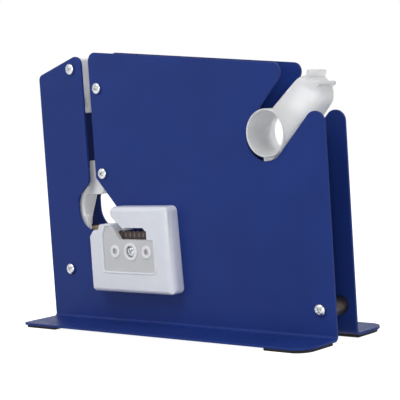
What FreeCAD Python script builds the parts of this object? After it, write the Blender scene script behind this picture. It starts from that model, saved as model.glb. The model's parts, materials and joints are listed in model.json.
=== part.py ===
import FreeCAD, Part
import math
import os
import re
import Sketcher
from FreeCAD import Placement, Rotation, Vector

# A counter top sealer that wraps tape round the gathered neck of a bag.
# Row frame: +X to the right along the plates, +Y to the back, +Z up, origin on the counter under the middle.
# Places along the plates are given from their left edge, and heights from the counter.

SIZES = (
    # side plates, whose edges fall away on both sides of the neck slot, and their foot flanges
    ("plate_width", 245), ("plate_top", 187.2), ("ear_fall", 16.1), ("top_fall", 7.25), ("sheet", 1.5),
    ("plate_gap", 19), ("flange_depth", 31.5), ("bend_radius", 2), ("left_corner", 4), ("right_corner", 12),
    ("pad_thick", 2), ("pad_length", 30), ("pad_inset", 1.5),
    ("bolt_hole", 4.5), ("bolt_first", 34), ("bolt_spacing", 175), ("bolt_out", 15.2),
    # neck slot and the outlet that it opens into
    ("slot_left", 43.9), ("slot_width", 7.4), ("slot_round", 6), ("ear_round", 6), ("ear_tip_round", 4),
    ("outlet_left", 31.4), ("outlet_right", 78), ("outlet_floor", 65.2), ("outlet_round", 14.3),
    ("outlet_shoulder", 98.5), ("outlet_flare", 88), ("outlet_neck", 101.5), ("outlet_slope", 47.5),
    ("outlet_nose_round", 3),
    # slanted notch and the holder that lies in it
    ("notch_inset", 44), ("notch_drop", 63.8), ("notch_angle", 45.6), ("notch_width", 30),
    ("tip_round", 5.7), ("lobe_round", 7),
    ("holder_lift", 3), ("holder_play", 0.3), ("hub_stick", 2.8), ("hub_wall", 1.3),
    ("arm_reach", 31.7), ("arm_root", 23.2), ("arm_end", 20.8), ("arm_thick", 16),
    ("rib_reach", 15.2), ("rib_thick", 2.5), ("rib_angle", 50), ("rib_spread", 18.5),
    ("key_left", 2), ("key_width", 7.5), ("foot_reach", 3.3), ("foot_angle", 65),
    # spacers, posts and screws
    ("spacer_dia", 11.6), ("post_dia", 8), ("thread_dia", 4), ("thread_depth", 8), ("screw_length", 8),
    ("screw_hole", 4.4), ("head_dia", 7.6), ("head_high", 2.6), ("seat_play", 0.02), ("running_play", 0.05),
    ("side_play", 0.5),
    ("ear_x", 33.6), ("ear_drop", 10.2), ("guide_x", 58.8), ("guide_drop", 25.1), ("lever_x", 58.8),
    ("lever_z", 104.3), ("corner_x", 20), ("corner_z", 37.9), ("heel_inset", 10.5), ("heel_z", 20.1),
    # catch block and guide roller
    ("block_width", 15), ("block_high", 38.4), ("block_drop", 2.5), ("block_back", 0.5),
    ("relief_low", 3.7), ("relief_high", 12.7), ("relief_run", 5.2), ("relief_radius", 30),
    ("relief_deep", 3),
    ("roller_dia", 12.8),
    # press lever
    ("hub_dia", 13), ("nose_left", 38.2), ("nose_top", 113.2), ("nose_bottom", 98), ("nose_step", 1.2),
    ("nose_step_drop", 5), ("shoulder_run", 5), ("shoulder_fall", 2.6), ("deck_width", 10),
    ("deck_bottom", 89.8), ("deck_run", 48.4), ("paddle_thick", 4.4), ("tip_x", 34.6), ("tip_z", 64.3),
    ("tip_roller_dia", 7), ("tip_roller_length", 9.4), ("pin_dia", 3), ("boss_dia", 6), ("boss_length", 2.5),
    ("boss_front", 7.4), ("boss_rise", 11),
    ("wire", 0.9), ("spring_turns", 3.5), ("spring_pitch", 1.4), ("spring_dia", 10.4), ("spring_start", 200),
    ("spring_tang", 3), ("spring_bend", 0.8), ("spring_play", 0.3),
    ("knife_thick", 0.8), ("knife_width", 7), ("knife_off", 3.3), ("knife_seat", 28.9), ("knife_bottom", 71),
    ("knife_top", 84), ("knife_tooth", 1.6), ("knife_pitch", 1.75), ("knife_screw_dia", 2.5), ("knife_screw_length", 3.5),
    # trimmer on the front plate
    ("cover_left", 50.5), ("cover_right", 126.6), ("cover_bottom", 24.9), ("cover_top", 82.4),
    ("cover_lean", 1.8), ("cover_depth", 10.5), ("cover_wall", 2), ("cover_round", 4), ("cover_edge", 2.6),
    ("arm_left", 72), ("arm_low", 76), ("mouth_deep", 83.6), ("mouth_low", 66.3), ("recess_high", 2.2),
    ("recess_right", 105), ("body_top", 70.7), ("body_step", 60.5), ("step_high", 4), ("body_side", 62),
    ("insert_left", 64.7), ("insert_right", 111.2), ("insert_bottom", 39), ("insert_top", 60.6),
    ("insert_thick", 3), ("insert_sunk", 0.6), ("insert_play", 0.2),
    ("blade_thick", 1), ("blade_left", 75.1), ("blade_right", 105.6), ("blade_bottom", 57.5),
    ("blade_top", 66.3), ("blade_slant", 6), ("tooth_pitch", 4.1), ("tooth_high", 0.9),
    ("trim_x", 90), ("trim_z", 52.6), ("ring_spacing", 29.1), ("ring_dia", 8.4), ("ring_hole", 3.8),
    ("boss_ring_dia", 11.6), ("trim_head", 6.6), ("trim_recess", 2.2), ("trim_screw_length", 16),
)
ALIASES = {name for name, _ in SIZES}

doc = FreeCAD.newDocument("BagNeckSealer")
sheet = doc.addObject("Spreadsheet::Sheet", "Sizes")
for row, (name, value) in enumerate(SIZES, start=1):
    sheet.set(f"A{row}", name)
    sheet.set(f"B{row}", str(value))
    sheet.setAlias(f"B{row}", name)
doc.recompute()

nodes = {}


def size(name):
    """A driving size as a number, read from the sheet."""
    return float(getattr(sheet, name))


def cells(text):
    """An expression in which each driving size's name points to its cell."""
    return re.sub(r"[a-z_]+", lambda m: f"Sizes.{m[0]}" if m[0] in ALIASES else m[0], text)


def along(from_left):
    """Row X of a place given from the plates' left edge."""
    return from_left - size("plate_width") / 2


def at_x(name):
    """Expression for the row X of a named place."""
    return f"{name} - plate_width / 2"


def node(label, thing):
    """Names an object as one of the finished sub-parts."""
    thing.Label = label
    nodes[label] = thing
    return thing


# Outlines: corners as (across, up, radius), joined by straight runs with tangent arcs at the corners


def rounded(corners):
    """Straight runs and tangent arcs round a closed outline of corners."""
    count = len(corners)
    turns = []
    for i, (a, b, radius) in enumerate(corners):
        here = Vector(a, b, 0)
        before = Vector(corners[i - 1][0], corners[i - 1][1], 0)
        after = Vector(corners[(i + 1) % count][0], corners[(i + 1) % count][1], 0)
        back, on = (before - here).normalize(), (after - here).normalize()
        half = back.getAngle(on) / 2
        if radius == 0:
            turns.append((here, None, here, True))
            continue
        reach = radius / math.tan(half)
        centre = here + (back + on).normalize() * (radius / math.sin(half))
        left_turn = back.cross(on).z < 0
        turns.append((here + back * reach, centre, here + on * reach, left_turn))
    pieces = []
    for i, (start, centre, end, left_turn) in enumerate(turns):
        if centre is not None:
            first, last = (start, end) if left_turn else (end, start)
            angles = [math.atan2((p - centre).y, (p - centre).x) for p in (first, last)]
            circle = Part.Circle(centre, Vector(0, 0, 1), corners[i][2])
            pieces.append((Part.ArcOfCircle(circle, *angles), left_turn))
        following = turns[(i + 1) % count][0]
        if (following - end).Length > 1e-6:
            pieces.append((Part.LineSegment(end, following), True))
    return pieces


PLANES = {"face": "XZ_Plane", "floor": "XY_Plane", "side": "YZ_Plane"}


def sketch(body, name, plane, out="0", loops=(), circles=()):
    """A sketch on one of the body's planes, moved out along its normal.

    The face plane's normal points to the front, the floor plane's up and the side plane's to the right.
    loops are lists of corners, and circles are (across, up, diameter's expression).
    """
    made = body.newObject("Sketcher::SketchObject", name)
    role = PLANES[plane]
    made.AttachmentSupport = [([f for f in body.Origin.OriginFeatures if f.Role == role][0], "")]
    made.MapMode = "FlatFace"
    made.setExpression("AttachmentOffset.Base.z", cells(out))
    for corners in loops:
        pieces = rounded(corners)
        first = made.addGeometry([geometry for geometry, _ in pieces], False)[0]
        for i, (_, forward) in enumerate(pieces):
            nxt = (i + 1) % len(pieces)
            end, start = (2 if forward else 1), (1 if pieces[nxt][1] else 2)
            made.addConstraint(Sketcher.Constraint("Coincident", first + i, end, first + nxt, start))
    for across, up, diameter in circles:
        round_one = made.addGeometry(Part.Circle(Vector(across, up, 0), Vector(0, 0, 1), 1), False)
        spot = made.addConstraint(Sketcher.Constraint("Diameter", round_one, 2))
        made.setExpression(f"Constraints[{spot}]", cells(diameter))
    return made


def body(name):
    """An empty body."""
    return doc.addObject("PartDesign::Body", name)


def pad(body_, profile, length, reverse=False, both=False):
    """Thickens a sketch along its normal, or to both sides of it."""
    made = body_.newObject("PartDesign::Pad", profile.Name + "_pad")
    made.Profile = profile
    made.setExpression("Length", cells(length))
    made.Reversed = reverse
    made.SideType = "Symmetric" if both else "One side"
    doc.recompute()
    return made


def pocket(body_, profile, length=None, reverse=False):
    """Cuts a sketch against its normal, right through both ways when no length is given."""
    before = body_.Shape.Volume
    made = body_.newObject("PartDesign::Pocket", profile.Name + "_cut")
    made.Profile = profile
    if length is None:
        made.Type = "ThroughAll"
        made.SideType = "Symmetric"
    else:
        made.setExpression("Length", cells(length))
        made.Reversed = reverse
    doc.recompute()
    if not made.Shape.Volume < before:
        raise RuntimeError(f"{profile.Name} cuts nothing")
    return made


def round_edges(body_, radius, test):
    """Rounds the edges of a body that a test on each edge picks."""
    base = body_.Tip
    names = [f"Edge{i}" for i, edge in enumerate(base.Shape.Edges, start=1) if test(edge)]
    made = body_.newObject("PartDesign::Fillet", body_.Name + "_round")
    made.Base = (base, names)
    made.setExpression("Radius", cells(radius))
    doc.recompute()
    return made


def box_corners(left, low, right, high, radius=0):
    """Corners of an upright rectangle."""
    return [(left, low, radius), (right, low, radius), (right, high, radius), (left, high, radius)]


def rod(name, place, start, radius, length):
    """A cylinder from front to back, its start given as a row Y and all its sizes bound to the sheet."""
    made = doc.addObject("Part::Cylinder", name)
    made.Placement = Placement(Vector(), Rotation(Vector(1, 0, 0), -90))
    made.setExpression("Placement.Base.x", cells(at_x(place[0])))
    made.setExpression("Placement.Base.y", cells(start))
    made.setExpression("Placement.Base.z", cells(place[1]))
    made.setExpression("Radius", cells(radius))
    made.setExpression("Height", cells(length))
    return made


def less(name, base, *tools):
    """A piece with other solids cut out of it, one after the other."""
    for i, tool in enumerate(tools):
        cut = doc.addObject("Part::Cut", f"{name}_less_{i}")
        cut.Base, cut.Tool = base, tool
        base = cut
    return base


FRONT_FACE = "plate_gap / 2 + sheet"
POSTS = {
    "ear": ("ear_x", "plate_top - ear_drop"), "guide": ("guide_x", "plate_top - guide_drop"),
    "lever": ("lever_x", "lever_z"), "corner": ("corner_x", "corner_z"),
    "heel": ("plate_width - heel_inset", "heel_z"), "trim": ("trim_x", "trim_z"), "tip": ("tip_x", "tip_z"),
}
SCREWED = ("ear", "guide", "lever", "corner", "heel", "trim")


def centre(name):
    """Row X and height of a post's axis, from a point that is bound to the sheet."""
    point = doc.getObject(name + "_axis")
    if point is None:
        point = doc.addObject("Part::Vertex", name + "_axis")
        point.setExpression("X", cells(at_x(POSTS[name][0])))
        point.setExpression("Z", cells(POSTS[name][1]))
        doc.recompute()
    return point.X.Value, point.Z.Value


def notch_point(up_notch, beside):
    """A place in the plates, up the notch from its round end's centre and to its upper left side."""
    angle = math.radians(size("notch_angle"))
    x, z = along(size("plate_width") - size("notch_inset")), size("plate_top") - size("notch_drop")
    return (
        x + up_notch * math.cos(angle) - beside * math.sin(angle),
        z + up_notch * math.sin(angle) + beside * math.cos(angle),
    )


def plate_outline():
    """Corners of a side plate, anticlockwise from the lower left, above its bend."""
    left, right = along(0), along(size("plate_width"))
    top, half = size("plate_top"), size("notch_width") / 2
    bottom = size("pad_thick") + size("sheet") + size("bend_radius")
    slot_left = along(size("slot_left"))
    slot_right = slot_left + size("slot_width")
    rise, fall = math.tan(math.radians(size("notch_angle"))), math.tan(math.radians(size("top_fall")))
    lobe = notch_point(0, -half)
    side = notch_point(0, half)
    tip = (top - side[1] + side[0] * rise + slot_right * fall) / (rise + fall)
    ear_low = top - size("slot_left") * math.tan(math.radians(size("ear_fall")))
    outlet_left, outlet_right = along(size("outlet_left")), along(size("outlet_right"))
    slope = math.tan(math.radians(size("outlet_slope")))
    outlet_end = size("outlet_neck") - (outlet_right - slot_right) * slope
    nose = size("outlet_nose_round")
    return [
        (left, bottom, 0),
        (right, bottom, 0),
        (right, lobe[1] + (right - lobe[0]) * rise, size("lobe_round")),
        (*notch_point(-half, -half), half),
        (*notch_point(-half, half), half),
        (tip, side[1] + (tip - side[0]) * rise, size("tip_round")),
        (slot_right, top, size("slot_round")),
        (slot_right, size("outlet_neck"), nose / 2),
        (outlet_right, outlet_end, nose),
        (outlet_right, size("outlet_floor"), nose),
        (outlet_left, size("outlet_floor"), size("outlet_round")),
        (outlet_left, size("outlet_flare"), nose * 2),
        (slot_left, size("outlet_shoulder"), nose * 2),
        (slot_left, top, size("ear_round")),
        (left, ear_low, size("ear_tip_round")),
    ]


def flange_profile(side):
    """Corners across the bend and the foot flange, on the side that the plate stands."""
    inner = size("plate_gap") / 2
    outer = inner + size("sheet")
    low, high = size("pad_thick"), size("pad_thick") + size("sheet")
    edge, bend = outer + size("flange_depth"), size("bend_radius")
    corners = [
        (inner, high + bend, 0), (inner, low, bend + size("sheet")), (edge, low, 0),
        (edge, high, 0), (outer, high, bend), (outer, high + bend, 0),
    ]
    return [(side * across, up, radius) for across, up, radius in corners]


def back_tang():
    """Where the return spring's back tang enters the back plate."""
    way, radius, bend = math.radians(size("spring_start")), size("spring_dia") / 2, size("spring_bend")
    x, z = along(size("lever_x")), size("lever_z")
    return (
        x + radius * math.cos(way) - bend * math.sin(way),
        z + radius * math.sin(way) + bend * math.cos(way),
    )


def side_plate(label, side):
    """A plate with its foot flange bent outwards: side is -1 at the front and 1 at the back."""
    plate = node(label, body(label))
    holes = [(*centre(name), "screw_hole") for name in SCREWED]
    if side > 0:
        holes.append((*back_tang(), "wire + 4 * running_play"))
    out = "plate_gap / 2" if side < 0 else "-plate_gap / 2"
    wall = sketch(plate, label + "_wall", "face", out, [plate_outline()], holes)
    pad(plate, wall, "sheet", reverse=side > 0)
    foot = sketch(plate, label + "_foot", "side", "0", [flange_profile(side)])
    pad(plate, foot, "plate_width", both=True)
    edge = side * (size("plate_gap") / 2 + size("sheet") + size("flange_depth"))
    middle = size("pad_thick") + size("sheet") / 2
    for radius, way in (("left_corner", -1), ("right_corner", 1)):
        corner = Vector(way * size("plate_width") / 2, edge, middle)
        round_edges(plate, radius, lambda e: (e.CenterOfMass - corner).Length < 1e-3)
    hole_y = side * (size("plate_gap") / 2 + size("sheet") + size("bolt_out"))
    first = along(size("bolt_first"))
    bolts = [(first, hole_y, "bolt_hole"), (first + size("bolt_spacing"), hole_y, "bolt_hole")]
    pocket(plate, sketch(plate, label + "_bolts", "floor", "pad_thick + sheet", circles=bolts), "sheet")
    return plate


def foot_pad(label, side, at_left):
    """A rubber pad under one end of a foot flange, its outer corner round like the flange's."""
    inset = size("pad_inset")
    inner = size("plate_gap") / 2 + size("sheet") + size("bend_radius")
    outer = size("plate_gap") / 2 + size("sheet") + size("flange_depth") - inset
    end = along(inset) if at_left else along(size("plate_width") - inset)
    far = end + size("pad_length") if at_left else end - size("pad_length")
    corner = size("left_corner" if at_left else "right_corner") - inset
    loop = [(far, side * inner, 0), (end, side * inner, 0), (end, side * outer, corner), (far, side * outer, 0)]
    made = node(label, body(label))
    pad(made, sketch(made, label + "_outline", "floor", "0", [loop]), "pad_thick")
    return made


def post(label, place, diameter):
    """A post between the plates with a threaded hole in each end."""
    solid = rod(label + "_solid", place, "-plate_gap / 2", f"{diameter} / 2", "plate_gap")
    thread = "thread_dia / 2 + seat_play"
    front = rod(label + "_front", place, "-plate_gap / 2", thread, "thread_depth")
    back = rod(label + "_back", place, "plate_gap / 2 - thread_depth", thread, "thread_depth")
    return node(label, less(label, solid, front, back))


def pan_screw(length, head_dia, head_high, shank_dia):
    """A pan head screw along +Y with the underside of its head at the origin."""
    r_head, r_shank = head_dia / 2, shank_dia / 2
    crown, rim, shoulder = Vector(0, -head_high, 0), Vector(r_head, -head_high * 0.4, 0), Vector(r_head, 0, 0)
    dome = Part.Arc(crown, Vector(r_head * 0.72, -head_high * 0.84, 0), rim).toShape()
    rest = [rim, shoulder, Vector(r_shank, 0, 0), Vector(r_shank, length, 0), Vector(0, length, 0), crown]
    runs = [Part.makeLine(a, b) for a, b in zip(rest, rest[1:])]
    return Part.Face(Part.Wire([dome, *runs])).revolve(Vector(), Vector(0, 1, 0), 360)


def screw_group(label, names, side):
    """The pan head screws of one plate, all alike, as one sub-part of separate solids."""
    one = pan_screw(size("screw_length"), size("head_dia"), size("head_high"), size("thread_dia"))
    turned = Rotation(Vector(0, 0, 1), 0 if side < 0 else 180)
    face = side * (size("plate_gap") / 2 + size("sheet"))
    copies = []
    for name in names:
        x, z = centre(name)
        copy = one.copy()
        copy.Placement = Placement(Vector(x, face, z), turned)
        copies.append(copy)
    made = doc.addObject("Part::Feature", label)
    made.Shape = Part.Compound(copies)
    return node(label, made)


def catch_block():
    """The block on the ear's spacer, its right face set back from the slot and relieved low at the front."""
    right = along(size("slot_left") - size("block_back"))
    left = right - size("block_width")
    high = size("plate_top") - size("block_drop")
    low = high - size("block_high")
    fall = size("block_width") * math.tan(math.radians(size("ear_fall")))
    made = body("block_body")
    loop = [(left, low, 2), (right, low, 1), (right, high, 2), (left, high - fall, 3)]
    bore = [(*centre("ear"), "post_dia + 2 * seat_play")]
    pad(made, sketch(made, "block_outline", "face", "0", [loop], bore), "plate_gap - 2 * side_play", both=True)
    # The relief is seen on the right face: it opens to the front under a long arc.
    front, foot = -size("plate_gap") / 2, low + size("relief_low")
    start, end = Vector(front, foot + size("relief_high"), 0), Vector(front + size("relief_run"), foot, 0)
    chord = end - start
    radius = size("relief_radius")
    sag = radius - math.sqrt(radius ** 2 - (chord.Length / 2) ** 2)
    middle = (start + end) / 2 + Vector(chord.y, -chord.x, 0).normalize() * sag
    edge = Part.Arc(start, middle, end).toShape()
    corner = Vector(front, foot, 0)
    face = Part.Face(Part.Wire([edge, Part.makeLine(end, corner), Part.makeLine(corner, start)]))
    face.Placement = Placement(Vector(right - size("relief_deep"), 0, 0), Rotation(Vector(1, 1, 1), 120))
    tool = doc.addObject("Part::Feature", "block_relief")
    tool.Shape = face.extrude(Vector(size("relief_deep") * 2, 0, 0))
    return node("catch_block", less("block", made, tool))


def guide_roller():
    """The plain roller on the guide post that the tape runs over."""
    start, length = "-plate_gap / 2 + side_play", "plate_gap - 2 * side_play"
    place = POSTS["guide"]
    solid = rod("roller_solid", place, start, "roller_dia / 2", length)
    bore = rod("roller_bore", place, start, "post_dia / 2 + running_play", length)
    return node("guide_roller", less("roller", solid, bore))


SPRING_ROOM = "(spring_turns * spring_pitch + wire + side_play + spring_play)"


def press_lever():
    """The lever: a hub, a deck with a nose across the slot, and a tapered paddle with a boss at its tip."""
    made = node("press_lever", body("press_lever"))
    x, z = along(size("lever_x")), size("lever_z")
    hub = size("hub_dia") / 2
    hub_ring = sketch(made, "lever_hub", "face", "plate_gap / 2 - side_play", circles=[(x, z, "hub_dia")])
    pad(made, hub_ring, f"plate_gap - side_play - {SPRING_ROOM}", reverse=True)
    nose, top, bottom = along(size("nose_left")), size("nose_top"), size("deck_bottom")
    low, step, step_low = size("nose_bottom"), size("nose_step"), top - size("nose_step_drop")
    shoulder_x, shoulder = nose - size("shoulder_run"), low - size("shoulder_fall")
    half_deck = "deck_width / 2"
    deck = [
        (nose, low, 1), (shoulder_x, shoulder, 1), (shoulder_x, bottom, 0.5), (along(size("deck_run")), bottom, 1),
        (x + hub * 0.6, z - hub * 0.7, 2), (x + hub * 0.5, z + hub * 0.8, 3), (x - hub, top, 4),
        (nose + step, top, 1), (nose + step, step_low, 0.4), (nose, step_low, 0.4),
    ]
    front_half = sketch(made, "lever_deck", "face", half_deck, [deck])
    pad(made, front_half, f"plate_gap / 2 - {SPRING_ROOM} + {half_deck}", reverse=True)
    # The paddle is a leaf. Its cross sections from the shoulder down: share of the drop, front edge, back
    # edge and distance of the middle to the right of the knife's seat.
    half, seat = size("paddle_thick") / 2, size("knife_seat")
    foot = size("tip_z") + size("tip_roller_dia") / 2 + 2 * size("side_play")
    rungs = []
    for drop, front, back, across in (
        (0.00, -6.2, 4.8, 7.0), (0.18, -7.4, 5.6, 4.4), (0.55, -7.4, 4.5, 1.5), (0.80, -7.4, 1.2, 2.3),
        (1.00, -7.0, -2.0, 4.6),
    ):
        loop = box_corners(along(seat + across) - half, front, along(seat + across) + half, back, half * 0.8)
        height = shoulder - drop * (shoulder - foot)
        rungs.append(sketch(made, f"paddle_{len(rungs)}", "floor", str(height), [loop]))
    loft = made.newObject("PartDesign::AdditiveLoft", "paddle")
    loft.Profile = rungs[0]
    loft.Sections = rungs[1:]
    doc.recompute()
    # An ear at the paddle's front edge carries the roller's pin.
    tip_x, tip = centre("tip")
    boss, rise = size("boss_dia") / 2, size("boss_rise")
    ear = [
        (tip_x - boss, tip - boss, boss * 0.95), (tip_x + boss, tip - boss, boss * 0.95),
        (tip_x + boss * 0.6, tip + rise, 0.5), (along(seat) + half * 0.4, tip + rise, 0.5),
    ]
    ear_out = "boss_front"
    pad(made, sketch(made, "tip_ear", "face", ear_out, [ear]), "boss_length", reverse=True)
    pocket(made, sketch(made, "lever_bore", "face", "0", circles=[(x, z, "post_dia + 2 * running_play")]))
    hole = sketch(made, "pin_hole", "face", ear_out, circles=[(tip_x, tip, "pin_dia + 2 * seat_play")])
    pocket(made, hole, "boss_length + side_play")
    tang = math.radians(size("spring_start") - 360 * size("spring_turns"))
    reach, bend = size("spring_dia") / 2, size("spring_bend")
    tang_at = (x + reach * math.cos(tang) + bend * math.sin(tang), z + reach * math.sin(tang) - bend * math.cos(tang))
    socket = sketch(made, "tang_socket", "face", f"{SPRING_ROOM} - plate_gap / 2",
                    circles=[(*tang_at, "wire + 4 * running_play")])
    pocket(made, socket, "spring_tang", reverse=True)
    # The knife's flat seat on the paddle's left, and the blind hole for its screw.
    play = size("side_play")
    flat = box_corners(-size("boss_front") - play, foot - play, size("knife_width") / 2 - size("knife_off") + play,
                       size("knife_top") + play)
    pocket(made, sketch(made, "knife_flat", "side", at_x("knife_seat"), [flat]), "paddle_thick")
    tap = sketch(made, "knife_tap", "side", at_x("knife_seat"),
                 circles=[(-size("knife_off"), knife_screw_z(), "knife_screw_dia")])
    pocket(made, tap, "knife_screw_length - knife_thick / 2", reverse=True)
    return made


def knife_screw_z():
    """Height of the knife's screw."""
    return (size("knife_bottom") + size("knife_top")) / 2


def roller_pin():
    """The pin pressed into the lever's ear from the back, with a head that keeps the roller on."""
    length = "boss_length + tip_roller_length + 2 * side_play"
    shaft = rod("pin_shaft", POSTS["tip"], "-boss_front", "pin_dia / 2", length)
    head = rod("pin_head", POSTS["tip"], f"{length} - boss_front", "pin_dia * 0.8", "pin_dia / 3")
    joined = doc.addObject("Part::Fuse", "pin_joined")
    joined.Base, joined.Tool = shaft, head
    return node("roller_pin", joined)


def press_roller():
    """The brass roller that turns on the lever's pin and pinches the tape."""
    start = "boss_length + side_play - boss_front"
    solid = rod("press_solid", POSTS["tip"], start, "tip_roller_dia / 2", "tip_roller_length")
    bore = rod("press_bore", POSTS["tip"], start, "pin_dia / 2 + running_play", "tip_roller_length")
    return node("press_roller", less("press", solid, bore))


def biarc(start, leave, end, arrive):
    """Two arcs that join tangentially and leave and arrive along the given directions."""
    chord, both = end - start, leave + arrive
    a, b, c = both.dot(both) - 4, -2 * chord.dot(both), chord.dot(chord)
    reach = -c / b if abs(a) < 1e-9 else (-b - math.sqrt(b * b - 4 * a * c)) / (2 * a)
    join = (start + leave * reach + end - arrive * reach) / 2
    arcs = []
    for first, corner, last in ((start, start + leave * reach, join), (join, end - arrive * reach, end)):
        half = (corner - first).getAngle(last - corner) / 2
        middle = (first + last) / 2
        top = middle + (corner - middle) * (math.cos(half) / (1 + math.cos(half)))
        arcs.append(Part.Arc(first, top, last).toShape())
    return arcs


def return_spring():
    """The torsion spring round the lever's post: one unbroken wire with a tang at each end.

    The back tang goes into the back plate and the front tang into the lever's hub.
    """
    turns, pitch, radius = size("spring_turns"), size("spring_pitch"), size("spring_dia") / 2
    axis_x, axis_z = along(size("lever_x")), size("lever_z")
    last_y = size("plate_gap") / 2 - size("side_play") - size("wire") / 2
    bend = size("spring_bend")
    stops = []
    quarters = round(turns * 4)
    for i in range(quarters + 1):
        turned = i / 4
        way = math.radians(size("spring_start") - 360 * turned)
        spot = Vector(axis_x + radius * math.cos(way), last_y - pitch * turned, axis_z + radius * math.sin(way))
        step = Vector(math.sin(way), -pitch / (2 * math.pi * radius), -math.cos(way)).normalize()
        stops.append((spot, step))
    ahead = Vector(0, -1, 0)
    spot, step = stops[0]
    back_root = spot - step * bend - ahead * bend
    back_tip = back_root - ahead * (size("sheet") + size("side_play"))
    spot, step = stops[-1]
    front_root = spot + step * bend + ahead * bend
    front_tip = front_root + ahead * (size("spring_tang") - size("spring_play") * 2)
    stops = [(back_root, ahead), *stops, (front_root, ahead)]
    edges = [Part.makeLine(back_tip, back_root)]
    for (a, out), (b, into) in zip(stops, stops[1:]):
        edges += biarc(a, out, b, into)
    edges.append(Part.makeLine(front_root, front_tip))
    path = Part.Wire(edges)
    ring = Part.Wire(Part.makeCircle(size("wire") / 2, back_tip, ahead))
    solid = path.makePipeShell([ring], True, False)
    spots = [p for edge in edges for p in edge.discretize(12)[:-1]]
    apart = [(a - b).Length for i, a in enumerate(spots) for b in spots[i + 60:]]
    print("return_spring least gap to itself", round(min(apart) - size("wire"), 2), "mm")
    made = doc.addObject("Part::Feature", "return_spring")
    made.Shape = solid
    return node("return_spring", made)


def teeth(left, right, base, pitch, high):
    """Points of a row of pointed teeth from right to left, an even number across the width."""
    count = max(2, round((right - left) / pitch))
    step = (right - left) / count
    points = [(right, base, 0)]
    for i in range(count):
        points.append((right - (i + 0.5) * step, base + high, 0))
        points.append((right - (i + 1) * step, base, 0))
    return points


def tape_knife():
    """The toothed knife behind the paddle."""
    made = node("tape_knife", body("tape_knife"))
    half, off, low, high = size("knife_width") / 2, size("knife_off"), size("knife_bottom"), size("knife_top")
    row = teeth(-half - off, half - off, low, size("knife_pitch"), -size("knife_tooth"))
    loop = [(-half - off, high, 0.5), *reversed(row), (half - off, high, 0.5)]
    hole = [(-off, knife_screw_z(), "knife_screw_dia + 4 * seat_play")]
    out = at_x("knife_seat") + " - seat_play - knife_thick"
    pad(made, sketch(made, "knife_outline", "side", out, [loop], hole), "knife_thick")
    return made


def knife_screw():
    """The small screw that holds the knife to the paddle."""
    dia = size("knife_screw_dia")
    shape = pan_screw(size("knife_screw_length"), dia * 1.8, dia * 0.5, dia - 2 * size("seat_play"))
    out = along(size("knife_seat")) - size("seat_play") - size("knife_thick")
    shape.Placement = Placement(Vector(out, -size("knife_off"), knife_screw_z()), Rotation(Vector(0, 0, 1), -90))
    made = doc.addObject("Part::Feature", "knife_screw")
    made.Shape = shape
    return node("knife_screw", made)


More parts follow.
